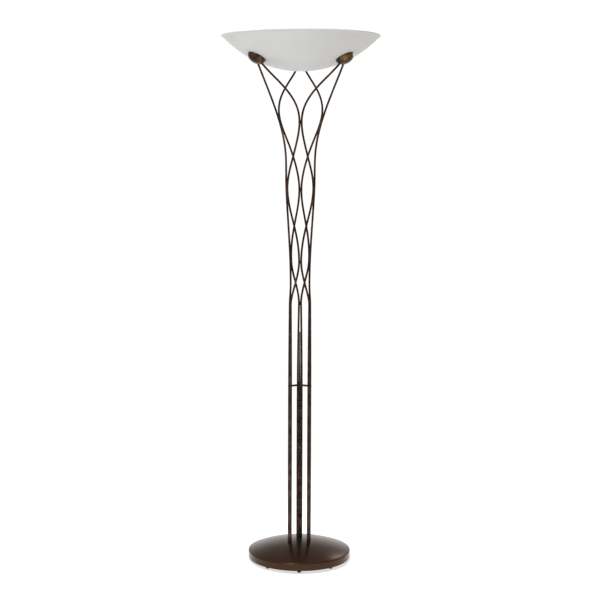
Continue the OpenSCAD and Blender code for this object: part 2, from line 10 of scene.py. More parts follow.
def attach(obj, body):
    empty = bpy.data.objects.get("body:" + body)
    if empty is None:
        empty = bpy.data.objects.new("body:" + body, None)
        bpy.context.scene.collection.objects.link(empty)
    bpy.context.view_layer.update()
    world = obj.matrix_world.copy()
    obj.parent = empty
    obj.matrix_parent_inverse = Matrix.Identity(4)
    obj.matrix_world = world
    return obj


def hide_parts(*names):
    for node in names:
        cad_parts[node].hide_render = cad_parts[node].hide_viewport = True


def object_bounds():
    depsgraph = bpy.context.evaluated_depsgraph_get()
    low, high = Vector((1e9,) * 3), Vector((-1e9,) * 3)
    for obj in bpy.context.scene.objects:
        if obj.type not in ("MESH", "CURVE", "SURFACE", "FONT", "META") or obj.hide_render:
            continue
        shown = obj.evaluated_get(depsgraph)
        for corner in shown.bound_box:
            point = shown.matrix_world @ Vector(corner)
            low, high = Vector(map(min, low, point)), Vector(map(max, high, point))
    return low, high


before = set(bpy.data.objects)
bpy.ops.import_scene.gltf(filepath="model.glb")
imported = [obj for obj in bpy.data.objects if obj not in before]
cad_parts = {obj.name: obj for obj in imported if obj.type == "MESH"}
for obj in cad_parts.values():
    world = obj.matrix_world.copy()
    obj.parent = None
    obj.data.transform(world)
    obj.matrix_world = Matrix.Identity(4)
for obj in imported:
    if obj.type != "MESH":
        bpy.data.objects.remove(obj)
cad_low, cad_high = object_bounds()


# ---------------------------------------------------------------- studio
# The lamp stands on a pale acrylic table that is lit from below, in an even white surround with
# a greyer band above it. A soft light stands in front on the left, one hangs overhead, one behind.

def add(tree, kind, inputs=None, **settings):
    """Adds a node with its settings; an input is a value, or a socket to link from."""
    node = tree.nodes.new(kind)
    for key, value in settings.items():
        setattr(node, key, value)
    for key, value in (inputs or {}).items():
        if isinstance(value, bpy.types.NodeSocket):
            tree.links.new(value, node.inputs[key])
        else:
            node.inputs[key].default_value = value
    return node


def linear(hex_colour):
    """sRGB hex to linear: c / 12.92 up to 0.04045, else ((c + 0.055) / 1.055) ** 2.4."""
    c = np.array([int(hex_colour[i:i + 2], 16) / 255 for i in (1, 3, 5)])
    c = np.where(c <= 0.04045, c / 12.92, ((c + 0.055) / 1.055) ** 2.4)
    return (*c.tolist(), 1.0)


def ramp(tree, value, *stops):
    """A colour ramp over value, through (place, hex colour) stops; gives its colour socket."""
    node = add(tree, "ShaderNodeValToRGB", {"Fac": value})
    elements = node.color_ramp.elements
    while len(elements) < len(stops):
        elements.new(0.5)
    for element, (place, colour) in zip(elements, stops):
        element.position = place
        element.color = linear(colour)
    return node.outputs["Color"]


CAMERA_AWAY = 4.479
CAMERA_UP = 1.4006
CAMERA_DOWN = math.radians(6.261)
CAMERA_ROLL = math.radians(0.19)
CAMERA_LENS = 79.08
SENSOR = 36.0

camera_data = bpy.data.cameras.new("camera")
camera_data.lens = CAMERA_LENS
camera_data.sensor_width = SENSOR
camera = bpy.data.objects.new("camera", camera_data)
bpy.context.collection.objects.link(camera)
camera.location = (0.0, -CAMERA_AWAY, CAMERA_UP)
tilt = Quaternion((1, 0, 0), math.pi / 2 - CAMERA_DOWN)
camera.rotation_euler = (tilt @ Quaternion((0, 0, 1), CAMERA_ROLL)).to_euler()
bpy.context.scene.camera = camera
bpy.context.scene.view_settings.view_transform = "Standard"

surround = bpy.data.worlds.new("surround")
bpy.context.scene.world = surround
surround.use_nodes = True
tree = surround.node_tree
tree.nodes.clear()
way = add(tree, "ShaderNodeTexCoord").outputs["Generated"]
way = add(tree, "ShaderNodeSeparateXYZ", {0: way})
up = add(tree, "ShaderNodeMapRange", {"Value": way.outputs["Z"], "From Min": -1.0})
pale = ramp(tree, up.outputs["Result"], (0.0, "#ffffff"), (0.60, "#ffffff"), (0.74, "#aea9a1"),
            (0.90, "#aea9a1"), (1.0, "#ffffff"))
across = add(tree, "ShaderNodeMapRange", {"Value": way.outputs["X"], "From Min": -1.0})
warm = ramp(tree, across.outputs["Result"], (0.0, "#dedede"), (0.36, "#ffffff"), (0.6, "#fffefd"),
            (1.0, "#b0aba3"))
mixed = add(tree, "ShaderNodeMix", {"Factor": 1.0, 6: pale, 7: warm},
            data_type="RGBA", blend_type="MULTIPLY")
glow = add(tree, "ShaderNodeBackground", {"Color": mixed.outputs[2], "Strength": 1.04})
add(tree, "ShaderNodeOutputWorld", {"Surface": glow.outputs[0]})


def soft_light(name, place, target, size, power):
    """A square light of that size in metres, at place, that faces target."""
    data = bpy.data.lights.new(name, "AREA")
    data.size = size
    data.energy = power
    light = bpy.data.objects.new(name, data)
    light.location = place
    light.rotation_euler = (Vector(target) - Vector(place)).to_track_quat("-Z", "Y").to_euler()
    bpy.context.collection.objects.link(light)


soft_light("key_light", (-0.9, -1.9, 3.1), (0.0, 0.0, 0.8), 1.2, 34.0)
soft_light("top_light", (-0.6, -0.8, 3.3), (0.0, -0.1, 0.0), 0.6, 20.0)
soft_light("back_light", (1.6, 2.4, 2.2), (0.0, 0.0, 1.0), 1.0, 12.0)


def surface(name, points, close_u=False, close_v=False):
    """Meshes over grids of points (copies, nu, nv, 3) in metres: one quad for each cell of a grid.

    A grid joins up with itself where it is closed, a row that shrinks to a point becomes one
    vertex, and the faces are made to point outwards."""
    points = np.asarray(points, dtype=float)
    points = points.reshape(-1, *points.shape[-3:])
    copies, nu, nv = points.shape[:3]
    i, j = np.meshgrid(np.arange(nu - (not close_u)), np.arange(nv - (not close_v)), indexing="ij")
    i2, j2 = (i + 1) % nu, (j + 1) % nv
    quads = np.stack([i * nv + j, i2 * nv + j, i2 * nv + j2, i * nv + j2], -1).reshape(-1, 4)
    quads = (np.arange(copies)[:, None, None] * nu * nv + quads).reshape(-1, 4)
    mesh = bpy.data.meshes.new(name)
    mesh.from_pydata(points.reshape(-1, 3), [], quads)
    shaped = bmesh.new()
    shaped.from_mesh(mesh)
    bmesh.ops.remove_doubles(shaped, verts=shaped.verts, dist=1e-7)
    bmesh.ops.recalc_face_normals(shaped, faces=shaped.faces)
    shaped.to_mesh(mesh)
    shaped.free()
    piece = bpy.data.objects.new(name, mesh)
    bpy.context.collection.objects.link(piece)
    return piece


# The table is a flat matt white disc that glows evenly, and fades out into the surround.
table_angle = np.linspace(0, 2 * np.pi, 96, endpoint=False)
table_r = np.array([0.0, 0.5, 1.0, 1.5, 2.0, 2.6])[:, None]
table = surface("light_table", np.stack([table_r * np.cos(table_angle), table_r * np.sin(table_angle),
                                         0 * table_r * table_angle], -1), close_v=True)
acrylic = bpy.data.materials.new("lit_white_acrylic")
acrylic.use_nodes = True
tree = acrylic.node_tree
tree.nodes.clear()
spot = add(tree, "ShaderNodeTexCoord").outputs["Object"]
away = add(tree, "ShaderNodeVectorMath", {0: spot}, operation="LENGTH").outputs["Value"]
fade = add(tree, "ShaderNodeMapRange", {"Value": away, "From Min": 0.3, "From Max": 1.6},
           interpolation_type="SMOOTHSTEP").outputs["Result"]
matt = add(tree, "ShaderNodeBsdfDiffuse", {"Color": linear("#efefee")})
lit = add(tree, "ShaderNodeEmission", {"Color": linear("#ffffff"), "Strength": 0.62})
panel = add(tree, "ShaderNodeAddShader", {0: matt.outputs[0], 1: lit.outputs[0]})
clear = add(tree, "ShaderNodeBsdfTransparent")
faded = add(tree, "ShaderNodeMixShader", {0: fade, 1: panel.outputs[0], 2: clear.outputs[0]})
add(tree, "ShaderNodeOutputMaterial", {"Surface": faded.outputs[0]})
table.data.materials.append(acrylic)


# ---------------------------------------------------------------- base cover
# Steel sheet spun to a low dome with a straight rim. It is sprayed with a dark brown metallic
# lacquer, whose clear coat mirrors the rods faintly and turns pale at a low angle.

FRAME_BODY = "lamp_frame"
MM = 0.001
BASE_R = 177.0
COVER_LOW = 12.0
RIM_TOP = 38.0
DOME_TOP = 71.0
COVER_T = 2.0
RIM_ROUND = 4.0
RIM_LEVELS = (20.0, 28.0)    # where the rim's straight wall is split into rows
DOME_R = BASE_R - RIM_ROUND
DOME_RISE = DOME_TOP - RIM_TOP
DOME_BALL = (DOME_R ** 2 + DOME_RISE ** 2) / (2 * DOME_RISE)


def arc(cx, cz, r, start, end, steps):
    """Points of a circle of radius r round (cx, cz), from one angle to another in degrees."""
    a = np.radians(np.linspace(start, end, steps + 1))
    return np.stack([cx + r * np.cos(a), cz + r * np.sin(a)], -1)


def upright(points):
    """The place of a piece on the lamp's own axis: left as it is."""
    return points


def lathe(name, outline, sides, *places):
    """A solid of revolution at each place: (r, z) in mm goes to (r cos a, r sin a, z), for a all round.

    A place is a function from the piece's own frame to the lamp's, both in mm."""
    outline = np.asarray(outline, dtype=float)
    a = np.linspace(0, 2 * np.pi, sides, endpoint=False)
    r, z = outline[:, :1], outline[:, 1:]
    points = np.stack([r * np.cos(a), r * np.sin(a), z + 0 * a], -1)
    grids = np.stack([place(points) for place in places])
    return surface(name, grids * MM, close_u=outline[0, 0] > 1e-6, close_v=True)


def finish(name, **values):
    """A new material: one Principled shader with these plain values on its own sockets."""
    made = bpy.data.materials.new(name)
    made.use_nodes = True
    shader = made.node_tree.nodes["Principled BSDF"]
    for key, value in values.items():
        key = key.replace("_", " ").title().replace("Ior", "IOR")
        shader.inputs[key].default_value = linear(value) if isinstance(value, str) else value
    return made, made.node_tree, shader


def grain(tree, size, detail=3.0, roughness=0.5, stretch=(1, 1, 1)):
    """Noise on object coordinates whose blobs are about size metres across."""
    place = add(tree, "ShaderNodeTexCoord").outputs["Object"]
    place = add(tree, "ShaderNodeMapping", {"Vector": place, "Scale": stretch}).outputs["Vector"]
    return add(tree, "ShaderNodeTexNoise", {"Vector": place, "Scale": 1 / size, "Detail": detail,
                                            "Roughness": roughness}).outputs["Fac"]


def tint(tree, shader, pattern, *stops):
    """Base colour from a ramp over a pattern of 0 to 1, through (place, hex colour) stops."""
    tree.links.new(ramp(tree, pattern, *stops), shader.inputs["Base Color"])


def relief(tree, shader, height, depth):
    """Bump from a height of 0 to 1, which stands for depth in metres."""
    bump = add(tree, "ShaderNodeBump", {"Height": height, "Distance": depth, "Strength": 1.0})
    tree.links.new(bump.outputs["Normal"], shader.inputs["Normal"])


def fit(piece, material, slot, *replaced, body=FRAME_BODY, sharp=35.0):
    """Shades a piece smooth but for edges sharper than that in degrees, and sets it in the frame."""
    piece.data.shade_smooth()
    piece.data.set_sharp_from_angle(angle=math.radians(sharp))
    piece.data.materials.append(material)
    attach(piece, body)
    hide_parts(*replaced)


def dome_z(r, deep):
    """Height of the dome's skin, or of a skin deep below it: the top of a ball."""
    return DOME_TOP - DOME_BALL + np.sqrt((DOME_BALL - deep) ** 2 - r ** 2)


def cover_skin(deep, steps):
    """From the rim's low edge up, round the shoulder and over the dome to the axis."""
    centre = float(dome_z(DOME_R, 0)) - RIM_ROUND
    lean = math.asin(DOME_R / DOME_BALL)
    r = np.linspace(DOME_R + (RIM_ROUND - deep) * math.sin(lean), 0, steps)[1:]
    return np.concatenate([
        [[BASE_R - deep, level] for level in (COVER_LOW + COVER_T / 2, *RIM_LEVELS)],
        arc(DOME_R, centre, RIM_ROUND - deep, 0, 90 - math.degrees(lean), 8),
        np.stack([r, dome_z(r, deep)], -1)])


cover = lathe("spun_cover", np.concatenate([
    cover_skin(0, 90)[::-1],
    arc(BASE_R - COVER_T / 2, COVER_LOW + COVER_T / 2, COVER_T / 2, 0, -180, 6)[1:-1],
    cover_skin(COVER_T, 60)]), 256, upright)

# Metal flake 1.5 mm across (coarser than the real 0.1 mm, so that it shows) under a clear coat.
lacquer, tree, shader = finish("metallic_brown_lacquer", metallic=0.8, roughness=0.26,
                               coat_weight=0.1, coat_roughness=0.10)
tint(tree, shader, grain(tree, 0.0015, 1.0), (0.35, "#321c0f"), (0.68, "#422815"))
relief(tree, shader, grain(tree, 0.005, 2.0), 0.00002)
fit(cover, lacquer, "base_lacquer", "base_cover")


# ---------------------------------------------------------------- feet
# Eight moulded rubber buttons, each held up under the steel base plate by a screw in a deep
# pocket. Rubber is matt and nearly black, and a little dusty from the floor.

FOOT_AT = 151.0
FOOT_R = 6.5
FOOT_H = 12.0
FOOT_COUNT = 8
FOOT_POCKET_R = 4.0
FOOT_POCKET = 5.0
FOOT_HOLE_R = 2.2
FOOT_LIP = 0.5     # roundings: the pocket's mouth, the sole's edge, the top's edge
FOOT_SOLE = 1.2
FOOT_EDGE = 0.6


def turned(points, degrees):
    """Points turned about the lamp's axis."""
    c, s = math.cos(math.radians(degrees)), math.sin(math.radians(degrees))
    x, y, z = np.moveaxis(np.asarray(points, dtype=float), -1, 0)
    return np.stack([x * c - y * s, x * s + y * c, z], -1)


def off_axis(away, degrees):
    """The place of an upright piece at a distance from the axis, at an angle round it."""
    return lambda points: turned(points + np.array([away, 0.0, 0.0]), degrees)


foot_places = [off_axis(FOOT_AT, 270 + 360 * i / FOOT_COUNT) for i in range(FOOT_COUNT)]
feet = lathe("rubber_feet", np.concatenate([
    [[FOOT_HOLE_R, FOOT_H], [FOOT_HOLE_R, FOOT_POCKET], [FOOT_POCKET_R, FOOT_POCKET]],
    arc(FOOT_POCKET_R + FOOT_LIP, FOOT_LIP, FOOT_LIP, 180, 270, 3),
    arc(FOOT_R - FOOT_SOLE, FOOT_SOLE, FOOT_SOLE, -90, 0, 5),
    arc(FOOT_R - FOOT_EDGE, FOOT_H - FOOT_EDGE, FOOT_EDGE, 0, 90, 4)]), 40, *foot_places)
rubber, tree, shader = finish("moulded_rubber", roughness=0.72, specular_ior_level=0.35)
tint(tree, shader, grain(tree, 0.004), (0.35, "#161514"), (0.75, "#26241f"))
relief(tree, shader, grain(tree, 0.0008), 0.00002)
fit(feet, rubber, "black_rubber", "feet")


# ---------------------------------------------------------------- weight, plate and fixings
# Inside the cover: a sand-cast iron disc, a black-enamelled steel plate under it, zinc-plated
# screws, nuts, washers and cord clip, a brass earth screw, and a moulded nylon junction block.

def repaint(material, *names):
    """Gives CAD pieces that keep their shape a finish."""
    for name in names:
        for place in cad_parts[name].material_slots:
            place.material = material


# Sand casting leaves a dull grey skin with grains of about a millimetre.
iron, tree, shader = finish("sand_cast_iron", metallic=0.6, roughness=0.62)
tint(tree, shader, grain(tree, 0.012, 5.0), (0.3, "#2e2e30"), (0.7, "#4a4a4b"))
relief(tree, shader, grain(tree, 0.0012, 2.0), 0.0002)
repaint(iron, "ballast")

# Baked enamel flows nearly flat: black, half glossy, with a faint orange-peel skin of 3 mm.
enamel, tree, shader = finish("black_enamel", roughness=0.38)
tint(tree, shader, grain(tree, 0.05), (0.3, "#121212"), (0.7, "#1b1b1a"))
relief(tree, shader, grain(tree, 0.003), 0.00003)
repaint(enamel, "base_plate")

# Bright zinc is bluish silver, and clouded where the passivation is thicker.
zinc, tree, shader = finish("zinc_plated_steel", metallic=1.0, roughness=0.32)
tint(tree, shader, grain(tree, 0.003), (0.35, "#9ea3a8"), (0.7, "#c3c6c9"))
relief(tree, shader, grain(tree, 0.0006), 0.00001)
repaint(zinc, "foot_screws", "plate_screws", "cover_screws", "stud_washers", "stud_nuts", "cord_clip",
        "clip_screw", "block_screws", "cup_straps", "holder_screws")

# Turned brass: warm yellow, with fine rings from the tool and a little brown tarnish.
brass, tree, shader = finish("turned_brass", metallic=1.0, roughness=0.27)
tint(tree, shader, grain(tree, 0.004), (0.3, "#8f6c30"), (0.6, "#c29d52"))
relief(tree, shader, grain(tree, 0.0005, 1.0, 0.5, (1, 1, 6)), 0.00001)
repaint(brass, "earth_screw", "centre_contacts")

# Natural nylon: milky cream, silky, and a little cloudy from the mould.
nylon, tree, shader = finish("moulded_nylon", roughness=0.45, subsurface_weight=0.1)
tint(tree, shader, grain(tree, 0.01), (0.3, "#dcd5c2"), (0.7, "#e8e2d2"))
relief(tree, shader, grain(tree, 0.0007), 0.00001)
repaint(nylon, "junction_block")


# ---------------------------------------------------------------- cord inlet
# A black moulded bush through the back of the rim, with a round flange outside and a hexagon
# nut inside. Moulded thermoplastic has a fine spark-eroded texture and a soft sheen.

GLAND_Z = 25.0
GLAND_BORE_R = 3.7
GLAND_NECK_R = 6.0
GLAND_FLANGE_R = 8.0
GLAND_IN = BASE_R - 15.0
GLAND_OUT = BASE_R + 3.0
GLAND_SEAT = BASE_R + 0.25
GLAND_ROUND = 1.4
BORE_ROUND = 0.8


def backwards(points):
    """The place of the bush: its own axis lies along +Y at the gland's height."""
    x, y, z = np.moveaxis(points, -1, 0)
    return np.stack([x, z, GLAND_Z - y], -1)


gland = lathe("inlet_bush", np.concatenate([
    [[GLAND_BORE_R, GLAND_IN], [GLAND_NECK_R - 0.4, GLAND_IN], [GLAND_NECK_R, GLAND_IN + 0.4],
     [GLAND_NECK_R, GLAND_SEAT], [GLAND_FLANGE_R, GLAND_SEAT]],
    arc(GLAND_FLANGE_R - GLAND_ROUND, GLAND_OUT - GLAND_ROUND, GLAND_ROUND, 0, 90, 6),
    arc(GLAND_BORE_R + BORE_ROUND, GLAND_OUT - BORE_ROUND, BORE_ROUND, 90, 180, 5)]), 64, backwards)
plastic, tree, shader = finish("black_moulded_plastic", roughness=0.42)
tint(tree, shader, grain(tree, 0.006), (0.3, "#151413"), (0.7, "#201e1c"))
relief(tree, shader, grain(tree, 0.0007), 0.00002)
fit(gland, plastic, "black_plastic", "cord_gland")
repaint(plastic, "gland_nut", "ring_washers")
repaint(rubber, "bowl_gaskets")


# ---------------------------------------------------------------- woven rods
# Six steel tubes, 7 mm with a 1 mm wall, bent in a jig and brazed where they touch. They have an
# antique bronze patina: dark brown in the hollows, rubbed lighter and redder where hands reach.

LEG_ANGLES = (210.0, 330.0, 90.0)    # front left, front right, back
RIM_Z = cad_high[2] / MM
BOWL_R = 267.0
BALL_R = 360.0
BALL_Z = RIM_Z + math.sqrt(BALL_R ** 2 - BOWL_R ** 2)
CUP_AT = 166.5
CUP_TILT = math.asin(CUP_AT / BALL_R)
CUP_Z = BALL_Z - BALL_R * math.cos(CUP_TILT)
LEG_AT = 38.2
ROD_R = 3.5
ROD_WALL = 1.0
ROD_FOOT = DOME_TOP - 14.0
PAIR_CLOSE = 7.3
PAIR_WIDE = 14.0
KISSES = RIM_Z - np.array([290.0, 517.0, 757.0, 906.0])
ROW_TOP = KISSES[3] - 334.0
FLARE_FROM = RIM_Z - 405.0
WAIST_Z = RIM_Z - 840.0
WAIST_R = 32.0
BELLY_R = 47.0
BELLY_SLOPE = 0.045
FLARE_R = 49.3
FLARE_SLOPE = 0.05
ENTRY_SLOPE = 0.38
ENTRY = (-17.0, 12.0, -12.0)    # where a rod ends in its cup: outwards, sideways, along the axis
COS30, SIN30, TAN30 = math.cos(math.pi / 6), 0.5, math.tan(math.pi / 6)


def from_cup(points):
    """A cup's own frame to its leg's: turned by the tilt about Y, then moved to the glass."""
    x, y, z = np.moveaxis(np.asarray(points, dtype=float), -1, 0)
    c, s = math.cos(CUP_TILT), math.sin(CUP_TILT)
    return np.stack([CUP_AT + x * c - z * s, y, CUP_Z + x * s + z * c], -1)


entry = from_cup(ENTRY)
ENTRY_FACE = entry[0] * COS30 + entry[1] * SIN30
ENTRY_SWING = entry[1] * COS30 - entry[0] * SIN30


def ease(z, z0, r0, s0, z1, r1, s1):
    """The cubic from r0 at z0 to r1 at z1 whose slopes there are s0 and s1."""
    length = z1 - z0
    t = (z - z0) / length
    return (r0 * (2 * t ** 3 - 3 * t ** 2 + 1) + r1 * (3 * t ** 2 - 2 * t ** 3)
            + length * (s0 * (t ** 3 - 2 * t ** 2 + t) + s1 * (t ** 3 - t ** 2)))


def pair_gap(z):
    """Centre distance in a pair: a quarter sine wave from close to wide, down to the row's top."""
    t = np.clip((KISSES[3] - z) / (KISSES[3] - ROW_TOP), 0, 1)
    return PAIR_CLOSE + (PAIR_WIDE - PAIR_CLOSE) * np.sin(t * np.pi / 2)


def face_r(z):
    """Distance from the axis of the upright plane that a rod weaves in: cubics end to end."""
    low = LEG_AT * COS30 + PAIR_CLOSE / 4
    return np.select(
        [z <= KISSES[3], z <= WAIST_Z, z <= KISSES[1], z <= FLARE_FROM],
        [LEG_AT * COS30 + pair_gap(z) / 4, ease(z, KISSES[3], low, 0, WAIST_Z, WAIST_R, 0),
         ease(z, WAIST_Z, WAIST_R, 0, KISSES[1], BELLY_R, BELLY_SLOPE),
         ease(z, KISSES[1], BELLY_R, BELLY_SLOPE, FLARE_FROM, FLARE_R, FLARE_SLOPE)],
        ease(z, FLARE_FROM, FLARE_R, FLARE_SLOPE, entry[2], ENTRY_FACE, ENTRY_SLOPE))


def reach(z):
    """Room to swing sideways in that plane before a rod touches its neighbour."""
    return face_r(z) * TAN30 - pair_gap(z) / (2 * COS30)


ENTRY_PHASE = math.acos(ENTRY_SWING / reach(entry[2]))


def side(z):
    """-1 beside the other rod of its pair, +1 beside the next pair's rod, half cosine waves between."""
    k1, k2, k3, k4 = KISSES
    return np.select(
        [z > k1, z > k2, z > k3, z > k4],
        [np.cos(ENTRY_PHASE * (z - k1) / (entry[2] - k1)), -np.cos(np.pi * (z - k2) / (k1 - k2)),
         np.cos(np.pi * (z - k3) / (k2 - k3)), -np.cos(np.pi * (z - k4) / (k3 - k4))], -1.0)


def rod_point(z, hand):
    """A rod's axis in its leg's frame: outwards, sideways (hand is +1 or -1), and up."""
    z = np.asarray(z, dtype=float)
    f, w = face_r(z), side(z) * reach(z)
    return np.stack([f * COS30 - w * SIN30, hand * (f * SIN30 + w * COS30), z], -1)


def rings(path, flat, radius, sides):
    """Circles of that radius round each point of a path, square to it; flat is never along it."""
    along = np.gradient(path, axis=0)
    u = np.cross(along, flat)
    u /= np.linalg.norm(u, axis=1, keepdims=True)
    v = np.cross(along, u)
    v /= np.linalg.norm(v, axis=1, keepdims=True)
    a = np.linspace(0, 2 * np.pi, sides, endpoint=False)[:, None]
    return path[:, None] + radius * (np.cos(a) * u[:, None] + np.sin(a) * v[:, None])


def patina(name, dark, middle, light, gloss, coat, size):
    """Antique bronze: browns in blotches of size metres with 3 mm specks, on a faintly wavy skin."""
    made, tree, shader = finish(name, metallic=0.88, roughness=gloss,
                                coat_weight=coat, coat_roughness=0.2)
    blotch = grain(tree, size, 4.0, 0.55)
    specks = add(tree, "ShaderNodeMath", {0: grain(tree, 0.003, 2.0), 1: 0.15, 2: blotch},
                 operation="MULTIPLY_ADD")
    tint(tree, shader, specks.outputs[0], (0.44, dark), (0.58, middle), (0.76, light))
    wear = add(tree, "ShaderNodeMapRange", {"Value": blotch, "From Min": 0.3, "From Max": 0.7,
                                            "To Min": gloss + 0.06, "To Max": gloss - 0.08})
    tree.links.new(wear.outputs["Result"], shader.inputs["Roughness"])
    relief(tree, shader, grain(tree, 0.009, 1.5), 0.00012)
    return made


rod_bronze = patina("antique_bronze_rod", "#20140d", "#352216", "#543825",
                    gloss=0.36, coat=0.06, size=0.025)
rod_levels = np.concatenate([np.linspace(ROD_FOOT, ROW_TOP, 30)[:-1],
                             np.linspace(ROW_TOP, entry[2], 210)])
for leg, angle in enumerate(LEG_ANGLES):
    for hand, number in ((-1, 2 * leg + 1), (1, 2 * leg + 2)):
        path = turned(rod_point(rod_levels, hand), angle)
        flat = turned([0.0, 1.0, 0.0], angle)
        skin = np.concatenate([rings(path, flat, ROD_R, 20),
                               rings(path, flat, ROD_R - ROD_WALL, 20)[::-1]])
        rod = surface(f"rod_{number}", skin * MM, close_u=True, close_v=True)
        fit(rod, rod_bronze, "rod_bronze", f"weave_rod_{number}", sharp=50)


# ---------------------------------------------------------------- brazed joints
# A drop of braze fills the groove on both sides of each place where two rods touch. It has the
# same patina as the rods, a little smoother.

BRAZE = np.array([1.9, 0.9, 6.0])    # half lengths: along the radius, across the gap, up
lat, lon = np.meshgrid(np.linspace(-np.pi / 2, np.pi / 2, 13),
                       np.linspace(0, 2 * np.pi, 17, endpoint=False), indexing="ij")
drop = BRAZE * np.stack([np.cos(lat) * np.cos(lon), np.cos(lat) * np.sin(lon), np.sin(lat)], -1)
spots = []
for number, z in enumerate(KISSES):
    beside = 60.0 if number % 2 == 0 else 0.0    # the first and third are between two legs
    point = rod_point(z, 1)
    away = point[0] * math.cos(math.radians(beside)) + point[1] * math.sin(math.radians(beside))
    spots += [turned(drop + np.array([away, 0.0, z]), angle + beside) for angle in LEG_ANGLES]
braze = surface("braze_drops", np.stack(spots) * MM, close_v=True)
braze.data.shade_smooth()
braze.data.materials.append(patina("antique_bronze_braze", "#20140d", "#392417", "#543825",
                                   gloss=0.3, coat=0.06, size=0.025))
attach(braze, FRAME_BODY)


# ---------------------------------------------------------------- centre rods and spider
# A steel rod stands between the tubes of each leg, ground to a long taper, with a threaded stud
# under the cover. A three-armed spider is welded from round bar and riveted through the rods.

CENTRE_R = 3.45
CENTRE_TIP_R = 1.4
CENTRE_TOP = KISSES[3] - 99.0
CENTRE_TAPER = 195.0
CENTRE_LEVELS = (200.0, 400.0)    # where the straight part is split into rows
STUD_R = 3.0
STUD_LOW = 16.5
STUD_TOP = 35.0
SPIDER_Z = CENTRE_TOP - 180.0
SPIDER_R = 3.5
SPIDER_HUB_R = 4.7
RIVET_R = 1.7
RIVET_OUT = LEG_AT + CENTRE_R + 1.0
CAP_FROM = LEG_AT + CENTRE_R + 0.2
CAP_R = 3.2
CAP_H = 4.8
CAP_CROWN = 3.0

taper_from = CENTRE_TOP - CENTRE_TAPER
taper = np.linspace(0, 1, 14)
for leg, angle in enumerate(LEG_ANGLES):
    outline = np.concatenate([
        [[0, STUD_LOW], [STUD_R - 0.5, STUD_LOW], [STUD_R, STUD_LOW + 0.5], [STUD_R, STUD_TOP],
         *[[CENTRE_R, level] for level in (STUD_TOP, *CENTRE_LEVELS)]],
        np.stack([CENTRE_R + (CENTRE_TIP_R - CENTRE_R) * taper,
                  taper_from + (CENTRE_TAPER - CENTRE_TIP_R) * taper], -1),
        arc(0, CENTRE_TOP - CENTRE_TIP_R, CENTRE_TIP_R, 0, 90, 6)[1:]])
    rod = lathe(f"middle_rod_{leg + 1}", outline, 24, off_axis(LEG_AT, angle))
    fit(rod, rod_bronze, "rod_bronze", f"centre_rod_{leg + 1}", sharp=40)


def outwards(degrees, z):
    """The place of a piece whose own axis points away from the lamp's axis, at height z."""
    return lambda points: turned(
        np.stack([points[..., 2], points[..., 1], z - points[..., 0]], -1), degrees)


arm_places = [outwards(angle, SPIDER_Z) for angle in LEG_ANGLES]
arm_end = LEG_AT - CENTRE_R - 0.2
hub = lathe("spider_hub", arc(0, SPIDER_Z, SPIDER_HUB_R, -90, 90, 16), 32, upright)
arms = lathe("spider", [[0, 1.0], [SPIDER_R, 1.0], [SPIDER_R, arm_end - 0.6], [SPIDER_R - 0.6, arm_end],
                        [RIVET_R, arm_end], [RIVET_R, RIVET_OUT], [0, RIVET_OUT]], 32, *arm_places)
whole = bmesh.new()
whole.from_mesh(arms.data)
whole.from_mesh(hub.data)
whole.to_mesh(arms.data)
whole.free()
bpy.data.objects.remove(hub)
fit(arms, rod_bronze, "rod_bronze", "leg_spider", sharp=40)

crown = np.linspace(0, np.pi / 2, 9)
caps = lathe("rivet_caps", np.concatenate([
    [[0, CAP_FROM], [CAP_R - 0.3, CAP_FROM], [CAP_R, CAP_FROM + 0.3]],
    np.stack([CAP_R * np.cos(crown), CAP_FROM + CAP_H + CAP_CROWN * (np.sin(crown) - 1)], -1)]),
    32, *arm_places)
fit(caps, rod_bronze, "rod_bronze", "spider_caps", sharp=50)


# ---------------------------------------------------------------- cups
# Domes 63 mm across, spun from brass with the edge rolled over, which clasp the glass from below.
# The rods' patina is buffed back on them; the large brassy blotches among the brown are partly that
# wear and partly a painted highlight.

CUP_R = 31.75
CUP_DEEP = 21.5
CUP_WALL = 2.0
CUP_RIM = BALL_R - math.sqrt(BALL_R ** 2 - (CUP_R - CUP_WALL) ** 2) - 0.3


def at_cup(degrees):
    """The place of a piece on a cup's axis, which points into the bowl from the glass's outside."""
    return lambda points: turned(from_cup(points), degrees)


def oval(r, deep, start, end, steps):
    """Points of an oval of half width r and depth deep, from one angle to another in degrees."""
    a = np.radians(np.linspace(start, end, steps + 1))
    return np.stack([r * np.cos(a), -deep * np.sin(a)], -1)


cup_outline = np.concatenate([
    oval(CUP_R, CUP_DEEP, 90, 0, 40),
    arc(CUP_R - CUP_WALL / 2, CUP_RIM - CUP_WALL / 2, CUP_WALL / 2, 0, 180, 8),
    oval(CUP_R - CUP_WALL, CUP_DEEP - CUP_WALL, 0, 90, 32)])
# The pale brassy stop, in blotches about half a cup across, is partly buffed wear and partly a painted
# highlight.
cup_bronze = patina("antique_bronze_cup", "#24160e", "#3f2a1b", "#86683f",
                    gloss=0.24, coat=0.1, size=0.034)
for leg, angle in enumerate(LEG_ANGLES):
    cup = lathe(f"glass_cup_{leg + 1}", cup_outline, 96, at_cup(angle))
    fit(cup, cup_bronze, "cup_bronze", f"cup_{leg + 1}", sharp=50)


# ---------------------------------------------------------------- lampholders
# Black phenolic tubes with a flange that the glass rests on, and a coarse outside thread for the
# clamping ring. A strip of brass, rolled with the small bulb thread, lines each one.

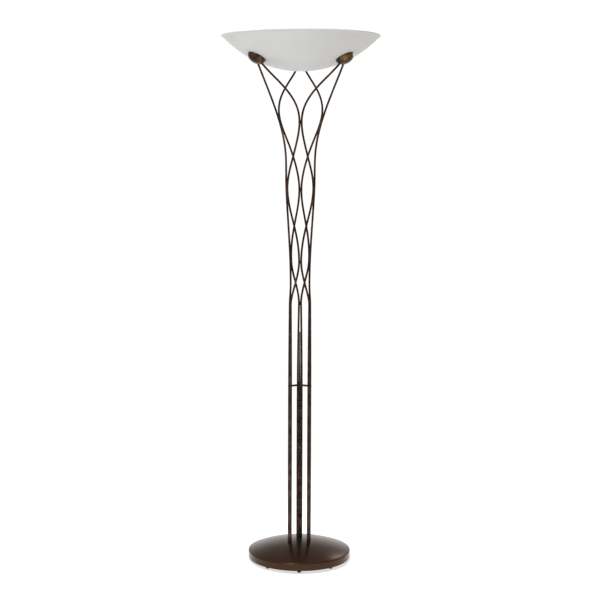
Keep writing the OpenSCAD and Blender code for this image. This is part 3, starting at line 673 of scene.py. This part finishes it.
HOLDER_R = 14.0
HOLDER_LOW = -7.0
HOLDER_TOP = 26.0
HOLDER_FLANGE_R = 20.0
HOLDER_FLANGE_LOW = -3.1
HOLDER_FLANGE_TOP = -1.1
HOLDER_THREAD_LOW = 6.9
HOLDER_PITCH = 2.5
HOLDER_THREAD = 0.7
SOCKET_R = 5.0
SOCKET_FLOOR = -2.0
SLEEVE_R = 7.0
SLEEVE_T = 0.6
HOLDER_BORE_R = SLEEVE_R + SLEEVE_T + 0.1
SLEEVE_LOW = 3.0
SLEEVE_HIGH = 24.0
SLEEVE_THREAD = 0.35
SMALL_PITCH = 2.82


def threaded(name, outline, pitch, depth, start, end, sides, place, inside=False):
    """A lathe whose skin between two heights is cut by a thread.

    The radius there is r - depth (1 - cos(2 pi z / pitch - a)) / 2, fading in over a pitch at each
    end; an inside thread is cut into the wall instead, so depth is added."""
    a = np.linspace(0, 2 * np.pi, sides, endpoint=False)
    r, z = outline[:, :1], outline[:, 1:]
    fade = np.clip(np.minimum(z - start, end - z) / pitch, 0, 1)
    middle = np.argmin(np.abs(outline[:, 1] - (start + end) / 2))
    fade = fade * (np.abs(r - outline[middle, 0]) < 1e-6)
    cut = depth * fade * (1 - np.cos(2 * np.pi * z / pitch - a)) / 2
    r = r + cut if inside else r - cut
    points = place(np.stack([r * np.cos(a), r * np.sin(a), z + 0 * a], -1))
    return surface(name, points * MM, close_u=outline[0, 0] > 1e-6, close_v=True)


def wall(r, low, high, step):
    """Closely spaced points up a straight wall."""
    z = np.linspace(low, high, int(round(abs(high - low) / step)) + 1)
    return np.stack([np.full_like(z, r), z], -1)


holder_outline = np.concatenate([
    wall(HOLDER_R, HOLDER_FLANGE_TOP, HOLDER_TOP - 0.8, 0.25),
    [[HOLDER_R - 0.8, HOLDER_TOP], [HOLDER_BORE_R + 0.5, HOLDER_TOP],
     [HOLDER_BORE_R, HOLDER_TOP - 0.5], [HOLDER_BORE_R, SLEEVE_LOW],
     [SOCKET_R, SLEEVE_LOW], [SOCKET_R, SOCKET_FLOOR], [0, SOCKET_FLOOR]]])
holder_outline = np.concatenate([
    [[0, HOLDER_LOW], [HOLDER_R - 0.6, HOLDER_LOW], [HOLDER_R, HOLDER_LOW + 0.6],
     [HOLDER_R, HOLDER_FLANGE_LOW], [HOLDER_FLANGE_R - 0.4, HOLDER_FLANGE_LOW],
     [HOLDER_FLANGE_R, HOLDER_FLANGE_LOW + 0.4], [HOLDER_FLANGE_R, HOLDER_FLANGE_TOP - 0.4],
     [HOLDER_FLANGE_R - 0.4, HOLDER_FLANGE_TOP]], holder_outline])
sleeve_outline = np.concatenate([wall(SLEEVE_R, SLEEVE_LOW, SLEEVE_HIGH, 0.3),
                                 wall(SLEEVE_R + SLEEVE_T, SLEEVE_HIGH, SLEEVE_LOW, 3.0)])

# Phenolic is harder and glossier than the bush's plastic, and a shade browner.
phenolic, tree, shader = finish("black_phenolic", roughness=0.3, coat_weight=0.1)
tint(tree, shader, grain(tree, 0.005), (0.3, "#14110f"), (0.7, "#221d19"))
relief(tree, shader, grain(tree, 0.001), 0.00001)
for leg, angle in enumerate(LEG_ANGLES):
    holder = threaded(f"holder_{leg + 1}", holder_outline, HOLDER_PITCH, HOLDER_THREAD,
                      HOLDER_THREAD_LOW, HOLDER_TOP - 1.0, 64, at_cup(angle))
    fit(holder, phenolic, "black_plastic", f"lampholder_{leg + 1}", sharp=50)
    sleeve = threaded(f"sleeve_{leg + 1}", sleeve_outline, SMALL_PITCH, SLEEVE_THREAD,
                      SLEEVE_LOW, SLEEVE_HIGH, 48, at_cup(angle), inside=True)
    fit(sleeve, brass, "brass", f"screw_sleeve_{leg + 1}", sharp=60)


# ---------------------------------------------------------------- glass bowl
# Opal glass, slumped in a mould to a slice of a ball, drilled for the lampholders and polished
# round at the rim. It is white all through and acid-matted, so its sheen is broad and weak.

GLASS_T = 5.0
BEAD_R = GLASS_T / 2 + 0.5
GLASS_HOLE_R = HOLDER_R + 1.0
DRILL_LOW = -12.0
DRILL_HIGH = 16.0
rim_angle = math.degrees(math.asin((BOWL_R - 2 * BEAD_R) / BALL_R))
bowl = lathe("opal_bowl", np.concatenate([
    arc(0, BALL_Z, BALL_R, -90, -90 + rim_angle, 110),
    arc(BOWL_R - BEAD_R, RIM_Z - BEAD_R, BEAD_R, -35, 150, 14),
    arc(0, BALL_Z, BALL_R - GLASS_T, -90 + rim_angle, -90, 110)]), 208, upright)
drill = lathe("drill", [[0, DRILL_LOW], [GLASS_HOLE_R, DRILL_LOW], [GLASS_HOLE_R, DRILL_HIGH],
                        [0, DRILL_HIGH]], 64, *[at_cup(angle) for angle in LEG_ANGLES])
cut = bowl.modifiers.new("drilled", "BOOLEAN")
cut.operation = "DIFFERENCE"
cut.solver = "EXACT"
cut.object = drill
drilled = bpy.data.meshes.new_from_object(bowl.evaluated_get(bpy.context.evaluated_depsgraph_get()))
bowl.modifiers.clear()
bowl.data = drilled
bpy.data.objects.remove(drill)

# The matting leaves a skin of 1 mm ripples, and the white is a little denser in clouds of 160 mm.
opal, tree, shader = finish("acid_matted_opal_glass", roughness=0.55, ior=1.5, specular_ior_level=0.3,
                            subsurface_weight=0.15, subsurface_radius=(0.012, 0.011, 0.010))
tint(tree, shader, grain(tree, 0.16, 2.0), (0.3, "#cdcdcc"), (0.7, "#d2d3d2"))
relief(tree, shader, grain(tree, 0.001, 2.0), 0.00001)
fit(bowl, opal, "opal_glass", "glass_bowl", sharp=50)


# ---------------------------------------------------------------- clamping rings
# Moulded phenolic rings that screw down the lampholders onto a washer and clamp the glass. Twelve
# finger grips are scooped out of the edge, and the rest of it is rounded by the mould.

RING_R = 21.5
RING_BORE_R = 14.05
RING_LOW = 7.31
RING_H = 5.0
GRIPS = 12
GRIP_R = 2.4
GRIP_AT = RING_R + 1.2

a = np.linspace(0, 2 * np.pi, GRIPS * 24, endpoint=False)
across = GRIP_AT * np.sin(((a * GRIPS + np.pi) % (2 * np.pi) - np.pi) / GRIPS)
edge = np.minimum(RING_R, GRIP_AT - np.sqrt(np.maximum(GRIP_R ** 2 - across ** 2, 0)))
edge = sum(np.roll(edge, k) for k in (-1, 0, 1)) / 3    # softens the corners of the grips
# Each row of the ring: share of the way from bore to edge, share of the height, mm above that.
low_rows = np.array([[0, 0.0, 0.3], [0.25, 0.0, 0.0], [0.9, 0.0, 0.0], [0.98, 0.0, 0.25],
                     [1.0, 0.0, 0.8]])
share = np.concatenate([low_rows, low_rows[::-1] * (1, 1, -1) + (0, 1, 0)])
r = RING_BORE_R + share[:, :1] * (edge - RING_BORE_R)
z = RING_LOW + share[:, 1:2] * RING_H + share[:, 2:]
ring_points = np.stack([r * np.cos(a), r * np.sin(a), z + 0 * a], -1)
for leg, angle in enumerate(LEG_ANGLES):
    ring = surface(f"clamp_ring_{leg + 1}", at_cup(angle)(ring_points) * MM,
                   close_u=True, close_v=True)
    fit(ring, phenolic, "black_plastic", f"shade_ring_{leg + 1}", body=f"ring_{leg + 1}", sharp=50)


# ---------------------------------------------------------------- bulbs
# Golf-ball bulbs: thin glass, frosted inside, cemented into a nickel-plated screw cap with a
# black glass insulator and a soldered tip.

BULB_TIP = -0.6
BULB_LONG = 78.0
CAP_CONE_R = SOCKET_R - 0.5
CAP_LOW = SLEEVE_LOW + 2.0
BULB_CAP_R = 6.95
BULB_CAP_TOP = 22.0
BULB_NECK_R = BULB_CAP_R - 0.45
BULB_BALL_R = 22.5
BULB_MID = BULB_TIP + BULB_LONG - BULB_BALL_R
BULB_WALL = 1.0
BULB_THREAD = 0.7
NECK_END = math.radians(-50.0)    # where the neck runs into the ball, seen from the ball's middle


def bulb_skin(deep):
    """From the cap up the neck, whose side swells along a cubic into the ball, and over its top."""
    z = np.linspace(BULB_CAP_TOP, BULB_MID + BULB_BALL_R * math.sin(NECK_END), 24)
    r = ease(z, z[0], BULB_NECK_R, 0.02, z[-1], BULB_BALL_R * math.cos(NECK_END), -math.tan(NECK_END))
    return np.concatenate([np.stack([r - deep, z], -1)[:-1],
                           arc(0, BULB_MID, BULB_BALL_R - deep, math.degrees(NECK_END), 90, 40)])


# Frosting scatters the light inside, so the ball looks milky with one soft high light outside.
frosted, tree, shader = finish("frosted_bulb_glass", roughness=0.22, ior=1.5, subsurface_weight=0.3,
                               subsurface_radius=(0.01, 0.01, 0.01))
tint(tree, shader, grain(tree, 0.03), (0.3, "#e9e7e1"), (0.7, "#f2f1ec"))
relief(tree, shader, grain(tree, 0.0008), 0.000005)

# Nickel plate is a warm pale silver, mirror-like but for fine marks from the thread rolls.
nickel, tree, shader = finish("nickel_plated_brass", metallic=1.0, roughness=0.2)
tint(tree, shader, grain(tree, 0.004), (0.3, "#a9a59c"), (0.7, "#cbc8c0"))
relief(tree, shader, grain(tree, 0.0006), 0.000005)

cap_outline = np.concatenate([
    [[0, BULB_TIP], [1.2, BULB_TIP], [1.8, BULB_TIP + 0.4], [2.4, BULB_TIP + 1.4],
     [CAP_CONE_R, BULB_TIP + 2.0], [CAP_CONE_R, SLEEVE_LOW]],
    wall(BULB_CAP_R, CAP_LOW, BULB_CAP_TOP, 0.25), [[0, BULB_CAP_TOP]]])
glass_outline = np.concatenate([bulb_skin(0), bulb_skin(BULB_WALL)[::-1]])
for leg, angle in enumerate(LEG_ANGLES):
    glass = lathe(f"bulb_{leg + 1}", glass_outline, 72, at_cup(angle))
    fit(glass, frosted, "bulb_glass", f"bulb_glass_{leg + 1}", body=f"bulb_{leg + 1}", sharp=60)
    cap = threaded(f"screw_cap_{leg + 1}", cap_outline, SMALL_PITCH, BULB_THREAD, CAP_LOW,
                   BULB_CAP_TOP - 3.0, 48, at_cup(angle))
    fit(cap, nickel, "cap_nickel", f"bulb_cap_{leg + 1}", body=f"bulb_{leg + 1}", sharp=50)


# ---------------------------------------------------------------- leads
# One silicone-sheathed lead runs from the junction block up inside a tube of each leg to its
# lampholder. Silicone is cream, rubbery and a little dusty.

silicone, tree, shader = finish("silicone_sheath", roughness=0.5, subsurface_weight=0.1)
tint(tree, shader, grain(tree, 0.02), (0.3, "#d9d0bc"), (0.7, "#e6dfce"))
relief(tree, shader, grain(tree, 0.001), 0.00001)
repaint(silicone, "lead_1", "lead_2", "lead_3")
